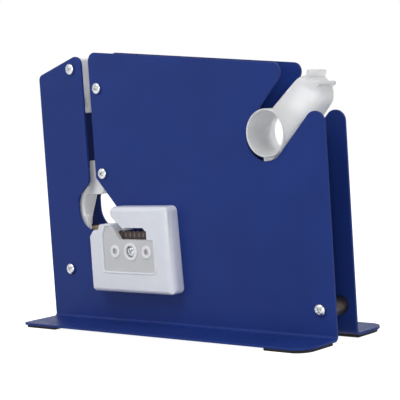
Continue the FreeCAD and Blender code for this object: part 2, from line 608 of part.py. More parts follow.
def core_holder():
    """The holder: a hub tube through both plates, a teardrop arm with two ribs, a foot and a key."""
    made = body("holder_body")
    radius = size("notch_width") / 2 - size("holder_play")
    lift = size("holder_lift")
    x, z = notch_point(lift, 0)
    hub = sketch(made, "holder_hub", "face", "0", circles=[(x, z, "notch_width - 2 * holder_play")])
    pad(made, hub, "plate_gap + 2 * sheet + 2 * hub_stick", both=True)
    # The arm follows the notch's lower edge between the plates, up to a round end.
    end, reach = size("arm_end"), size("arm_reach")
    loop = [(0, -radius, 0), (reach + end / 2, -radius, end * 0.49), (reach + end / 2, end - radius, end * 0.49),
            (0, size("arm_root") - radius, 0)]
    arm = [(*notch_point(lift + along_it, beside), turn) for along_it, beside, turn in loop]
    pad(made, sketch(made, "holder_arm", "face", "0", [arm]), "arm_thick", both=True)
    end_at = Vector(*notch_point(lift + reach, end / 2 - radius), 0)
    for number, side in enumerate((1, -1)):
        way = math.radians(size("rib_angle") + side * size("rib_spread"))
        out, across = Vector(math.cos(way), math.sin(way), 0), Vector(-math.sin(way), math.cos(way), 0)
        half = size("rib_thick") / 2
        tip, root = end_at + out * size("rib_reach"), end_at + out * end / 4
        loop = [root - across * half, tip - across * half, tip + across * half, root + across * half]
        rib = sketch(made, f"holder_rib_{number}", "face", "0", [[(p.x, p.y, 0) for p in loop]])
        pad(made, rib, "arm_thick", both=True)
    # The foot, wider than the notch, stands between the plates and keeps the holder from slipping out sideways.
    foot = doc.addObject("Part::Cylinder", "holder_foot")
    foot.Placement = Placement(Vector(x, 0, z), Rotation(Vector(1, 0, 0), -90))
    foot.setExpression("Placement.Base.y", cells("side_play - plate_gap / 2"))
    foot.setExpression("Radius", cells("notch_width / 2 + foot_reach"))
    foot.setExpression("Height", cells("plate_gap - 2 * side_play"))
    foot.setExpression("Angle", cells("foot_angle"))
    foot.Placement.Rotation = Rotation(Vector(0, 1, 0), 180) * foot.Placement.Rotation
    # The key fills the notch's round end under the hub, so the holder can't turn.
    end_x, end_z = notch_point(0, 0)
    left = end_x - size("key_left")
    right = left + size("key_width")
    low = [end_z - math.sqrt(radius ** 2 - (p - end_x) ** 2) for p in (left, (left + right) / 2, right)]
    floor = Part.Arc(Vector(left, low[0], 0), Vector((left + right) / 2, low[1], 0), Vector(right, low[2], 0))
    up = z - radius * 0.6
    sides = [Vector(right, low[2], 0), Vector(right, up, 0), Vector(left, up, 0), Vector(left, low[0], 0)]
    wire = Part.Wire([floor.toShape()] + [Part.makeLine(a, b) for a, b in zip(sides, sides[1:])])
    key_face = Part.Face(wire)
    key_face.rotate(Vector(), Vector(1, 0, 0), 90)
    deep = size("plate_gap") / 2 + size("sheet")
    key_face.translate(Vector(0, deep, 0))
    key = doc.addObject("Part::Feature", "holder_key")
    key.Shape = key_face.extrude(Vector(0, -2 * deep, 0))
    joined = doc.addObject("Part::MultiFuse", "holder_joined")
    joined.Shapes = [made, foot, key]
    bore = doc.addObject("Part::Cylinder", "holder_bore")
    bore.Placement = Placement(Vector(x, 0, z), Rotation(Vector(1, 0, 0), -90))
    bore.setExpression("Radius", cells("notch_width / 2 - holder_play - hub_wall"))
    bore.setExpression("Placement.Base.y", cells("-plate_gap"))
    bore.setExpression("Height", cells("2 * plate_gap"))
    return node("core_holder", less("holder", joined, bore))


COVER_FACE = f"{FRONT_FACE} + cover_depth"
FLOOR_OUT = f"{COVER_FACE} - insert_sunk - insert_thick - blade_thick"


def insert_loop(grow=0.0):
    """Corners of the trimmer's inset plate, with a nose at its upper left, grown by a clearance."""
    left, right = along(size("insert_left")) - grow, along(size("insert_right")) + grow
    low, top = size("insert_bottom") - grow, size("insert_top")
    blade, slant, nose_top = along(size("blade_left")), size("blade_slant"), size("body_top") - size("cover_wall") / 2
    return [
        (left, low, 1), (right, low, 1), (right, top, 0.6), (blade + slant * 0.8, top, 0.8),
        (blade - slant * 0.25, nose_top, 0.6), (left + slant / 2, nose_top, 1.5), (left, top + slant / 2, 1.5),
    ]


def trimmer_cover():
    """The moulded cover: a round edged body with a mouth on its left, a sunk seat and a hollow back."""
    made = node("trimmer_cover", body("trimmer_cover"))
    left, right = along(size("cover_left")), along(size("cover_right"))
    low, top, corner = size("cover_bottom"), size("cover_top"), size("cover_round")
    arm, deep = along(size("arm_left")), along(size("mouth_deep"))
    mouth, recess, body_top = size("mouth_low"), size("recess_high"), size("body_top")
    blade_left, blade_right = along(size("blade_left")), along(size("blade_right"))
    recess_right, step, play = along(size("recess_right")), along(size("body_step")), size("insert_play")
    window = size("blade_top") - size("tooth_high") - size("blade_thick")
    outline = [
        (left, low, corner), (right, low, corner), (right - size("cover_lean"), top, corner), (arm, top, corner),
        (arm, size("arm_low"), 2.8), (deep, mouth, 0), (deep + recess, mouth + recess, 0.5),
        (recess_right - recess, mouth + recess, 0.5), (recess_right, mouth, 0.3), (blade_right + play, mouth, 0.3),
        (blade_right + play, window, 0.3), (blade_left + play * 4, window, 0.5),
        (blade_left - size("blade_slant") / 2, body_top, 1), (step + size("step_high") / 2, body_top, 2),
        (step, body_top - size("step_high"), 0), (left + size("step_high"), body_top - size("step_high"), 3),
        (left, size("body_side"), 3),
    ]
    pad(made, sketch(made, "cover_outline", "face", FRONT_FACE, [outline]), "cover_depth")
    face = -(size("plate_gap") / 2 + size("sheet") + size("cover_depth"))
    middle = (low + top) / 2

    def on_rim(edge):
        spot, box = edge.CenterOfMass, edge.BoundBox
        on_face = abs(box.YMin - face) < 1e-3 and abs(box.YMax - face) < 1e-3
        return on_face and (spot.x < left + 1 or spot.x > right - corner or spot.z < middle or spot.z > top - corner)

    round_edges(made, "cover_edge", on_rim)
    seat = sketch(made, "cover_seat", "face", COVER_FACE, [insert_loop(size("insert_play"))])
    pocket(made, seat, "insert_sunk + insert_thick")
    slot = box_corners(blade_left - play, size("blade_bottom") - play, blade_right + play, mouth + play)
    pocket(made, sketch(made, "blade_seat", "face", COVER_FACE, [slot]), "insert_sunk + insert_thick + blade_thick")
    wall = size("cover_wall")
    insert_right = along(size("insert_right")) + wall
    shallow = box_corners(left + wall, low + wall, insert_right, size("blade_bottom") - wall, 2)
    pocket(made, sketch(made, "back_hollow", "face", FRONT_FACE, [shallow]),
           "cover_depth - insert_sunk - insert_thick - cover_wall", reverse=True)
    tall = box_corners(insert_right, low + wall, right - wall, top - wall, 2)
    pocket(made, sketch(made, "side_hollow", "face", FRONT_FACE, [tall]), "cover_depth - cover_wall", reverse=True)
    pillars = [(along(size("trim_x")), size("trim_z"), "boss_ring_dia")]
    pad(made, sketch(made, "cover_pillar", "face", FRONT_FACE, circles=pillars),
        "cover_depth - insert_sunk - insert_thick - cover_wall / 2")
    through = [(along(size("trim_x")), size("trim_z"), "screw_hole")]
    pocket(made, sketch(made, "cover_hole", "face", "0", circles=through))
    return made


def trimmer_insert():
    """The grey inset plate that clamps the blade, with a raised ring round its screw and two blind holes."""
    made = node("trimmer_insert", body("trimmer_insert"))
    back = f"{COVER_FACE} - insert_sunk - insert_thick"
    x, z, away = along(size("trim_x")), size("trim_z"), size("ring_spacing") / 2
    pad(made, sketch(made, "insert_outline", "face", back, [insert_loop()]), "insert_thick")
    face = f"{COVER_FACE} - insert_sunk"
    rings = [(x - away, z, "ring_dia"), (x + away, z, "ring_dia"), (x, z, "boss_ring_dia")]
    pad(made, sketch(made, "insert_rings", "face", face, circles=rings), "insert_sunk")
    holes = [(x - away, z, "ring_hole"), (x + away, z, "ring_hole")]
    pocket(made, sketch(made, "insert_holes", "face", COVER_FACE, circles=holes), "insert_sunk + insert_thick / 3")
    recess = sketch(made, "insert_recess", "face", COVER_FACE, circles=[(x, z, "trim_head + 4 * insert_play")])
    pocket(made, recess, "trim_recess")
    pocket(made, sketch(made, "insert_bore", "face", "0", circles=[(x, z, "screw_hole")]))
    return made


def trimmer_blade():
    """The toothed steel blade under the insert's upper edge."""
    made = node("trimmer_blade", body("trimmer_blade"))
    left, right = along(size("blade_left")), along(size("blade_right"))
    base = size("blade_top") - size("tooth_high")
    slant = size("blade_slant")
    row = teeth(left + slant / 4, right, base, size("tooth_pitch"), size("tooth_high"))
    loop = [(left + slant, size("blade_bottom"), 0), (right, size("blade_bottom"), 0), *row]
    pad(made, sketch(made, "blade_outline", "face", FLOOR_OUT, [loop]), "blade_thick")
    return made


def trimmer_screw():
    """The long pan head screw, sunk in the insert, through cover and front plate."""
    shape = pan_screw(size("trim_screw_length"), size("trim_head"), size("trim_recess"), size("thread_dia"))
    seat = size("plate_gap") / 2 + size("sheet") + size("cover_depth") - size("trim_recess")
    x, z = centre("trim")
    shape.Placement = Placement(Vector(x, -seat, z), Rotation())
    made = doc.addObject("Part::Feature", "trimmer_screw")
    made.Shape = shape
    return node("trimmer_screw", made)


side_plate("front_plate", -1)
side_plate("back_plate", 1)
for depth, side in (("front", -1), ("back", 1)):
    foot_pad(f"pad_{depth}_left", side, True)
    foot_pad(f"pad_{depth}_right", side, False)
post("ear_spacer", POSTS["ear"], "post_dia")
post("corner_spacer", POSTS["corner"], "spacer_dia")
post("heel_spacer", POSTS["heel"], "spacer_dia")
post("guide_post", POSTS["guide"], "post_dia")
post("lever_post", POSTS["lever"], "post_dia")
post("trimmer_post", POSTS["trim"], "post_dia")
screw_group("front_screws", ("ear", "guide", "lever", "corner", "heel"), -1)
screw_group("back_screws", SCREWED, 1)
catch_block()
guide_roller()
press_lever()
roller_pin()
press_roller()
return_spring()
tape_knife()
knife_screw()
core_holder()
trimmer_cover()
trimmer_insert()
trimmer_blade()
trimmer_screw()

doc.recompute()
for thing in doc.Objects:
    if "Invalid" in thing.State or "Error" in thing.State:
        raise RuntimeError(f"{thing.Label} failed: {thing.State}")
for label, thing in nodes.items():
    if thing.Shape.isNull() or not thing.Shape.isValid():
        raise RuntimeError(f"{label} has no sound shape")

os.makedirs("parts", exist_ok=True)
for label, thing in nodes.items():
    thing.Shape.exportStep(f"parts/{label}.step")
    print(f"{label:18s} {len(thing.Shape.Solids)} solid(s) {thing.Shape.Volume / 1000:9.2f} cm3")
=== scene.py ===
import json
import logging
import math
from dataclasses import dataclass, field
from enum import Enum

import bmesh
import bpy
import numpy as np
from mathutils import Matrix, Vector


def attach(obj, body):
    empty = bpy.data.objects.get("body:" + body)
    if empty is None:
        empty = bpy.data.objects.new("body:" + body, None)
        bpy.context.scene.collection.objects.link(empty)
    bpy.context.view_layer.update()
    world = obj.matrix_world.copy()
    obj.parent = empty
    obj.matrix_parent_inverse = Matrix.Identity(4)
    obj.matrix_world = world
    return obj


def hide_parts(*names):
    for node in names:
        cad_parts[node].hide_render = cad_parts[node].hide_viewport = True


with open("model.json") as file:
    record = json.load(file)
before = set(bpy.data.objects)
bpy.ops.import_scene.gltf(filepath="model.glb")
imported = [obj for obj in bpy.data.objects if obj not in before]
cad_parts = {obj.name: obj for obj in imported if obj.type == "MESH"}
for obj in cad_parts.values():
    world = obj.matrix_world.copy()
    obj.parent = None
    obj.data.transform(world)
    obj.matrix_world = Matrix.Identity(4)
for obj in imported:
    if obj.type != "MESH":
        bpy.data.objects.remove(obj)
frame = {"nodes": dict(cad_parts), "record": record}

log = logging.getLogger("bag_neck_sealer")
logging.basicConfig(level=logging.INFO, format="%(name)s: %(message)s")

MM = 0.001
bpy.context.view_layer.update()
Colour = tuple[float, float, float]


class Coat(Enum):
    """How a finish carries its clear top layer."""

    NONE = 0.0
    THIN = 0.15
    WAXED = 0.4


class Shader:
    """A material's node tree, built one named node at a time."""

    def __init__(self, name: str) -> None:
        """Starts a material with a Principled shader.

        Args:
            name: the material's name.
        """
        self.material = bpy.data.materials.new(name)
        self.material.use_nodes = True
        self.tree = self.material.node_tree
        self.surface = self.tree.nodes["Principled BSDF"]
        self.place = self.tree.nodes.new("ShaderNodeTexCoord").outputs["Object"]

    def node(self, kind: str, **values: object) -> bpy.types.Node:
        """Adds a node and sets its sockets.

        Args:
            kind: the node's type without the ShaderNode prefix.
            values: socket names, with _ for spaces, and what they are set to or linked from.

        Returns:
            The new node.
        """
        made = self.tree.nodes.new("ShaderNode" + kind)
        for name, value in values.items():
            self.feed(made.inputs[name.replace("_", " ")], value)
        return made

    def feed(self, socket: bpy.types.NodeSocket, value: object) -> None:
        """Sets a socket to a value or links it from another socket."""
        if isinstance(value, bpy.types.NodeSocket):
            self.tree.links.new(value, socket)
        else:
            socket.default_value = (*value, 1.0) if isinstance(value, tuple) and len(value) == 3 and socket.type == "RGBA" else value

    def noise(self, size_mm: float, detail: float = 3.0, stretch: Colour = (1.0, 1.0, 1.0)) -> bpy.types.NodeSocket:
        """Noise in real size.

        Args:
            size_mm: the size of the noise's lumps.
            detail: how many finer layers it has.
            stretch: how much finer it is along each axis.

        Returns:
            The noise's value, from 0 to 1.
        """
        spread = self.node("Mapping", Vector=self.place, Scale=stretch)
        return self.node("TexNoise", Vector=spread.outputs["Vector"], Scale=1 / (size_mm * MM), Detail=detail).outputs["Fac"]

    def ramp(self, value: bpy.types.NodeSocket, low: float, high: float, start: float, end: float) -> bpy.types.NodeSocket:
        """Carries a value from one range to another, held at its ends."""
        made = self.node("MapRange", Value=value, From_Min=low, From_Max=high, To_Min=start, To_Max=end)
        return made.outputs["Result"]

    def sum(self, operation: str, first: bpy.types.NodeSocket, second: float | bpy.types.NodeSocket = 0.0) -> bpy.types.NodeSocket:
        """The result of one arithmetic step.

        Args:
            operation: the step's name in Blender.
            first: the first number's socket.
            second: the second number or its socket.

        Returns:
            The result's socket.
        """
        made = self.tree.nodes.new("ShaderNodeMath")
        made.operation = operation
        self.feed(made.inputs[0], first)
        self.feed(made.inputs[1], second)
        return made.outputs[0]

    def mix(self, share: bpy.types.NodeSocket, first: Colour, second: Colour) -> bpy.types.NodeSocket:
        """Mixes two colours by a share.

        Args:
            share: 0 for the first colour and 1 for the second.
            first: a colour or a colour's socket.
            second: a colour or a colour's socket.

        Returns:
            The mixed colour.
        """
        made = self.tree.nodes.new("ShaderNodeMix")
        made.data_type = "RGBA"
        colours = [s for s in made.inputs if s.type == "RGBA"]
        self.feed(made.inputs[0], share)
        self.feed(colours[0], first)
        self.feed(colours[1], second)
        return [s for s in made.outputs if s.type == "RGBA"][0]

    def bump(self, height: bpy.types.NodeSocket, depth_mm: float, strength: float = 1.0) -> None:
        """Raises the surface by a height, adding to any bump it already has."""
        made = self.node("Bump", Height=height, Distance=depth_mm * MM, Strength=strength)
        before = self.surface.inputs["Normal"]
        if before.is_linked:
            self.tree.links.new(before.links[0].from_socket, made.inputs["Normal"])
        self.tree.links.new(made.outputs["Normal"], before)

    def set(self, **values: object) -> None:
        """Sets the Principled shader's sockets, with _ for spaces."""
        for name, value in values.items():
            self.feed(self.surface.inputs[name.replace("_", " ")], value)


def shade(colour: Colour, factor: float) -> Colour:
    """A colour made darker or lighter by a factor."""
    return tuple(min(1.0, part * factor) for part in colour)


@dataclass(frozen=True)
class SatinPaint:
    """Satin powder paint on sheet steel: fine orange peel, faint mottling and paler edges, partly edge wear and partly
    a painted highlight along the edges.
    """

    name: str = "blue_paint"
    colour: Colour = (0.0125, 0.0335, 0.185)
    worn_and_highlit: Colour = (0.075, 0.10, 0.30)
    roughness: float = 0.40
    shine: float = 0.12
    peel_mm: float = 0.9
    peel_depth_mm: float = 0.02

    def make(self) -> bpy.types.Material:
        """Builds the paint."""
        s = Shader(self.name)
        mottle = s.noise(38.0, 2.0)
        tint = s.mix(s.ramp(mottle, 0.35, 0.65, 0.0, 1.0), shade(self.colour, 0.93), shade(self.colour, 1.07))
        # Paler colour along sharp edges: partly edge wear, partly a painted highlight where the edges catch light.
        edge = s.tree.nodes.new("ShaderNodeNewGeometry").outputs["Pointiness"]
        wear_and_highlight = s.ramp(edge, 0.60, 0.68, 0.0, 0.55)
        s.set(Base_Color=s.mix(wear_and_highlight, tint, self.worn_and_highlit))
        s.set(Roughness=s.ramp(s.noise(6.0), 0.3, 0.7, self.roughness - 0.04, self.roughness + 0.05))
        s.set(Specular_IOR_Level=self.shine)
        s.bump(s.noise(self.peel_mm, 1.0), self.peel_depth_mm, 0.6)
        return s.material


@dataclass(frozen=True)
class Moulded:
    """Moulded plastic: soft light inside, a faintly uneven gloss and a fine moulding grain."""

    name: str
    colour: Colour
    roughness: float = 0.35
    inside: float = 0.0
    glow: Colour = (1.0, 0.6, 0.4)
    glow_mm: float = 1.5
    grain_mm: float = 0.5
    grain_depth_mm: float = 0.006
    clear: float = 0.0
    coat: Coat = Coat.NONE

    def make(self) -> bpy.types.Material:
        """Builds the plastic."""
        s = Shader(self.name)
        cloud = s.ramp(s.noise(9.0, 2.0), 0.3, 0.7, 0.0, 1.0)
        s.set(Base_Color=s.mix(cloud, shade(self.colour, 0.97), shade(self.colour, 1.02)))
        s.set(Roughness=s.ramp(s.noise(3.0), 0.3, 0.7, self.roughness - 0.04, self.roughness + 0.06))
        s.set(Subsurface_Weight=self.inside, Subsurface_Radius=self.glow, Subsurface_Scale=self.glow_mm * MM)
        s.set(Transmission_Weight=self.clear, IOR=1.46, Coat_Weight=self.coat.value, Coat_Roughness=0.15)
        s.bump(s.noise(self.grain_mm, 1.0), self.grain_depth_mm, 0.5)
        return s.material


@dataclass(frozen=True)
class Metal:
    """Bare or plated metal with fine marks along one direction and a little tarnish."""

    name: str
    colour: Colour
    tarnish: Colour
    roughness: float = 0.25
    marks: Colour = (1.0, 1.0, 1.0)
    marks_mm: float = 0.35
    marks_depth_mm: float = 0.008

    def make(self) -> bpy.types.Material:
        """Builds the metal."""
        s = Shader(self.name)
        spots = s.ramp(s.noise(2.2, 4.0), 0.45, 0.75, 0.0, 1.0)
        s.set(Base_Color=s.mix(spots, self.colour, self.tarnish), Metallic=1.0)
        lines = s.noise(self.marks_mm, 2.0, self.marks)
        s.set(Roughness=s.ramp(lines, 0.3, 0.7, self.roughness - 0.06, self.roughness + 0.10))
        s.bump(lines, self.marks_depth_mm, 0.5)
        return s.material


@dataclass(frozen=True)
class GroundBlade:
    """Blued blade steel with a paler mark where each tooth was ground."""

    name: str = "dark_blade"
    colour: Colour = (0.050, 0.038, 0.036)
    ground: Colour = (0.15, 0.135, 0.13)
    roughness: float = 0.40
    pitch_mm: float = 4.1
    first_mm: float = -45.3
    low_mm: float = 61.4
    high_mm: float = 65.2

    def make(self) -> bpy.types.Material:
        """Builds the blade's steel. A mark is near the middle of each pitch and fades at its two ends."""
        s = Shader(self.name)
        split = s.node("SeparateXYZ", Vector=s.place)
        across = s.ramp(split.outputs["X"], self.first_mm * MM, (self.first_mm + 100 * self.pitch_mm) * MM, 0.0, 100.0)
        off_middle = s.sum("ABSOLUTE", s.sum("SUBTRACT", s.sum("FRACT", across), 0.5))
        mark = s.ramp(off_middle, 0.06, 0.20, 1.0, 0.0)
        middle = (self.low_mm + self.high_mm) / 2 * MM
        off_height = s.sum("ABSOLUTE", s.sum("SUBTRACT", split.outputs["Z"], middle))
        reach = s.ramp(off_height, (self.high_mm - self.low_mm) / 4 * MM, (self.high_mm - self.low_mm) / 2 * MM, 0.8, 0.0)
        s.set(Base_Color=s.mix(s.sum("MULTIPLY", mark, reach), self.colour, self.ground), Metallic=0.85)
        lines = s.noise(0.3, 2.0, (2.0, 1.0, 0.3))
        s.set(Roughness=s.ramp(lines, 0.3, 0.7, self.roughness - 0.06, self.roughness + 0.1))
        s.bump(lines, 0.006, 0.5)
        return s.material


@dataclass(frozen=True)
class Rubber:
    """Black rubber with a dusty speckle."""

    name: str = "black_rubber"
    colour: Colour = (0.018, 0.018, 0.019)

    def make(self) -> bpy.types.Material:
        """Builds the rubber."""
        s = Shader(self.name)
        dust = s.ramp(s.noise(0.8, 4.0), 0.55, 0.8, 0.0, 1.0)
        s.set(Base_Color=s.mix(dust, self.colour, shade(self.colour, 2.6)))
        s.set(Roughness=s.ramp(s.noise(2.0), 0.3, 0.7, 0.72, 0.9), Specular_IOR_Level=0.3)
        s.bump(s.noise(0.45, 2.0), 0.05, 0.8)
        return s.material


FINISHES = (
    SatinPaint(),
    Rubber(),
    Metal("zinc", (0.56, 0.58, 0.60), (0.34, 0.35, 0.37), roughness=0.22),
    Metal("dark_steel", (0.10, 0.085, 0.08), (0.05, 0.04, 0.035), roughness=0.4),
    Moulded("grey_plastic", (0.80, 0.81, 0.83), roughness=0.34, inside=0.12, glow=(1.0, 1.0, 0.95), glow_mm=3.0, coat=Coat.THIN),
    Moulded("white_nylon", (0.78, 0.78, 0.78), roughness=0.4, inside=0.4, glow_mm=2.0),
    Moulded("milky_nylon", (0.965, 0.975, 1.0), roughness=0.42, inside=0.2, glow=(0.9, 0.95, 1.0), glow_mm=2.0, clear=0.55),
    Metal("spring_wire", (0.45, 0.45, 0.47), (0.25, 0.24, 0.24), roughness=0.3),
    Metal("brass", (0.20, 0.165, 0.10), (0.075, 0.06, 0.04), roughness=0.34, marks=(3.0, 0.4, 3.0)),
    Metal("knife_steel", (0.58, 0.59, 0.61), (0.4, 0.4, 0.41), roughness=0.25),
    Moulded("white_plastic", (0.74, 0.76, 0.83), roughness=0.33, inside=0.3, glow=(0.9, 0.9, 1.0), glow_mm=2.0, coat=Coat.THIN),
    Moulded("grey_gloss", (0.560, 0.565, 0.585), roughness=0.33, inside=0.1, coat=Coat.THIN),
    GroundBlade(),
)


BODY_OF = {node: name for name, nodes in frame["record"]["behaviour"]["bodies"].items() for node in nodes}
SLOT_OF = {part["node"]: part["material_slot"] for part in frame["record"]["subparts"]}


def tube_mesh(name: str, rings: np.ndarray, capped: bool = True) -> bpy.types.Mesh:
    """A mesh from rings of points, one ring after another.

    Args:
        name: the mesh's name.
        rings: points in metres, shaped (rings, points in a ring, 3).
        capped: True closes both ends at their middles, and False joins the last ring to the first.

    Returns:
        The mesh, with its faces looking outward.
    """
    count, around = rings.shape[:2]
    spots = np.arange(count * around).reshape(count, around)
    ahead = np.roll(spots, -1, axis=1)
    upper = spots[1:] if capped else np.roll(spots, -1, axis=0)
    upper_ahead = ahead[1:] if capped else np.roll(ahead, -1, axis=0)
    lower, lower_ahead = (spots[:-1], ahead[:-1]) if capped else (spots, ahead)
    quads = np.stack((lower, lower_ahead, upper_ahead, upper), axis=-1).reshape(-1, 4)
    points = rings.reshape(-1, 3)
    faces = [tuple(int(i) for i in quad) for quad in quads]
    if capped:
        first, last = len(points), len(points) + 1
        points = np.vstack((points, rings[0].mean(axis=0), rings[-1].mean(axis=0)))
        faces += [(first, int(b), int(a)) for a, b in zip(spots[0], ahead[0])]
        faces += [(last, int(a), int(b)) for a, b in zip(spots[-1], ahead[-1])]
    mesh = bpy.data.meshes.new(name)
    mesh.from_pydata(points.tolist(), [], faces)
    work = bmesh.new()
    work.from_mesh(mesh)
    bmesh.ops.recalc_face_normals(work, faces=work.faces)
    work.to_mesh(mesh)
    work.free()
    return mesh


def joined_mesh(name: str, meshes: list[bpy.types.Mesh]) -> bpy.types.Mesh:
    """One mesh made of several closed ones."""
    work = bmesh.new()
    for mesh in meshes:
        work.from_mesh(mesh)
        bpy.data.meshes.remove(mesh)
    whole = bpy.data.meshes.new(name)
    work.to_mesh(whole)
    work.free()
    return whole


def islands(node: str) -> list[np.ndarray]:
    """The points of each separate solid of a node, in metres.

    Args:
        node: the node's name.

    Returns:
        One array of points for each solid, from left to right.
    """
    work = bmesh.new()
    work.from_mesh(frame["nodes"][node].data)
    bmesh.ops.remove_doubles(work, verts=work.verts, dist=0.001 * MM)
    waiting = set(work.verts)
    found = []
    while waiting:
        edge_of_island = [waiting.pop()]
        island = list(edge_of_island)
        while edge_of_island:
            vert = edge_of_island.pop()
            near = [edge.other_vert(vert) for edge in vert.link_edges]
            fresh = [other for other in near if other in waiting]
            waiting.difference_update(fresh)
            edge_of_island += fresh
            island += fresh
        found.append(np.array([vert.co[:] for vert in island]))
    work.free()
    return sorted(found, key=lambda points: points[:, 0].mean())


@dataclass
class Workshop:
    """Where finished pieces get their material, their body and the node that they stand for."""

    materials: dict[str, bpy.types.Material]

    def settle(self, mesh: bpy.types.Mesh, node: str, smooth_angle: float = 35.0) -> bpy.types.Object:
        """Makes a piece that stands for a node of the frame.

        Args:
            mesh: the piece's mesh, in the row frame.
            node: the node that it replaces.
            smooth_angle: the sharpest bend in degrees that still shades smoothly.

        Returns:
            The new piece.
        """
        piece = self.add(mesh, BODY_OF[node], SLOT_OF[node], smooth_angle)
        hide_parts(node)
        return piece

    def add(self, mesh: bpy.types.Mesh, body: str, slot: str, smooth_angle: float = 35.0) -> bpy.types.Object:
        """Makes a piece that rides on a body and takes the finish of a slot."""
        mesh.polygons.foreach_set("use_smooth", np.ones(len(mesh.polygons), dtype=bool))
        mesh.set_sharp_from_angle(angle=math.radians(smooth_angle))
        mesh.materials.clear()
        mesh.materials.append(self.materials[slot])
        piece = bpy.data.objects.new(mesh.name, mesh)
        bpy.context.scene.collection.objects.link(piece)
        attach(piece, body)
        log.info("%s rides on %s", piece.name, body)
        return piece


@dataclass(frozen=True)
class SoftPiece:
    """A piece whose solid is right and whose edges are softened as bending, moulding or paint leaves them."""

    node: str
    round_mm: float
    steps: int = 2
    bend_limit: float = 30.0
    merge_mm: float = 0.002
    flat_limit: float = 0.6

    def build(self, workshop: Workshop) -> bpy.types.Object:
        """Copies the solid's mesh, joins its flat facets and rounds its edges.

        Args:
            workshop: where the piece is finished.

        Returns:
            The softened piece.
        """
        work = bmesh.new()
        work.from_mesh(frame["nodes"][self.node].data)
        bmesh.ops.remove_doubles(work, verts=work.verts, dist=self.merge_mm * MM)
        bmesh.ops.dissolve_limit(work, angle_limit=math.radians(self.flat_limit), verts=work.verts, edges=work.edges)
        mesh = bpy.data.meshes.new(self.node + "_soft")
        work.to_mesh(mesh)
        work.free()
        piece = workshop.settle(mesh, self.node)
        bevel = piece.modifiers.new("soft_edges", "BEVEL")
        bevel.width = self.round_mm * MM
        bevel.segments = self.steps
        bevel.limit_method = "ANGLE"
        bevel.angle_limit = math.radians(self.bend_limit)
        bevel.miter_outer = "MITER_ARC"
        bevel.harden_normals = True
        return piece


@dataclass(frozen=True)
class PanHeads:
    """The pan head screws of one node, each with a cross recess turned its own way."""

    node: str
    faces_front: bool
    arm_long: float = 0.56
    arm_half: float = 0.11
    recess_deep: float = 0.55
    recess_blur: float = 0.055
    crown_power: float = 2.35
    rim_share: float = 0.4
    crown_rows: int = 26
    around: int = 72
    first_turn: float = 22.0
    next_turn: float = 67.0

    def recess(self, across: np.ndarray, up: np.ndarray) -> np.ndarray:
        """How deep the cross is sunk at each point, as a share of its depth.

        Each arm is a bar with soft walls, and its floor rises in a straight line from the middle to its end.
        """
        def bar(along: np.ndarray, aside: np.ndarray) -> np.ndarray:
            wall = np.clip((self.arm_half - np.abs(aside)) / self.recess_blur + 0.5, 0, 1)
            end = np.clip((self.arm_long - np.abs(along)) / self.recess_blur + 0.5, 0, 1)
            floor = 1 - 0.55 * np.clip(np.abs(along) / self.arm_long, 0, 1)
            return wall * end * floor

        deep = np.maximum(bar(across, up), bar(up, across))
        return deep * deep * (3 - 2 * deep)

    def screw(self, points: np.ndarray, turn: float) -> bpy.types.Mesh:
        """One screw, sized from its solid's own points.

        Args:
            points: the solid's points in metres.
            turn: how far its cross is turned, in degrees.

        Returns:
            The screw's mesh.
        """
        way = 1.0 if self.faces_front else -1.0
        local = points * (1, way, 1)
        middle = (local.min(axis=0) + local.max(axis=0)) / 2
        reach = np.hypot(local[:, 0] - middle[0], local[:, 2] - middle[2])
        head = reach.max()
        top, tip = local[:, 1].min(), local[:, 1].max()
        under = local[reach > head * 0.95, 1].max()
        shank = reach[local[:, 1] > under + (tip - under) * 0.5].max()
        high = under - top
        share = np.linspace(0, 1, self.crown_rows + 1)[1:]
        crown = self.rim_share + (1 - self.rim_share) * np.sqrt(1 - np.minimum(share ** self.crown_power, 1))
        radii = np.concatenate((share, [1.0, 0.985, 0.94, shank / head, shank / head, shank / head * 0.8])) * head
        heights = np.concatenate((crown * high, high * np.array([0.1, 0.03, 0.0, 0.0])))
        depths = np.concatenate((under - heights, [tip - shank * 0.2, tip]))
        angles = np.linspace(0, 2 * np.pi, self.around, endpoint=False)
        across = radii[:, None] * np.cos(angles) + middle[0]
        up = radii[:, None] * np.sin(angles) + middle[2]
        lead = math.radians(turn)
        spread = radii[:, None] / head
        sunk = self.recess(spread * np.cos(angles - lead), spread * np.sin(angles - lead))
        sunk[self.crown_rows - 2:] = 0
        back = depths[:, None] + sunk * high * self.recess_deep
        rings = np.stack((across, back * way, up), axis=-1)
        mesh = tube_mesh(self.node + "_one", rings)
        mesh.vertices[len(rings) * self.around].co.y += way * high * self.recess_deep
        return mesh

    def build(self, workshop: Workshop) -> bpy.types.Object:
        """Makes all the node's screws as one piece."""
        solids = islands(self.node)
        made = [self.screw(points, self.first_turn + self.next_turn * i) for i, points in enumerate(solids)]
        return workshop.settle(joined_mesh(self.node + "_heads", made), self.node, 50.0)


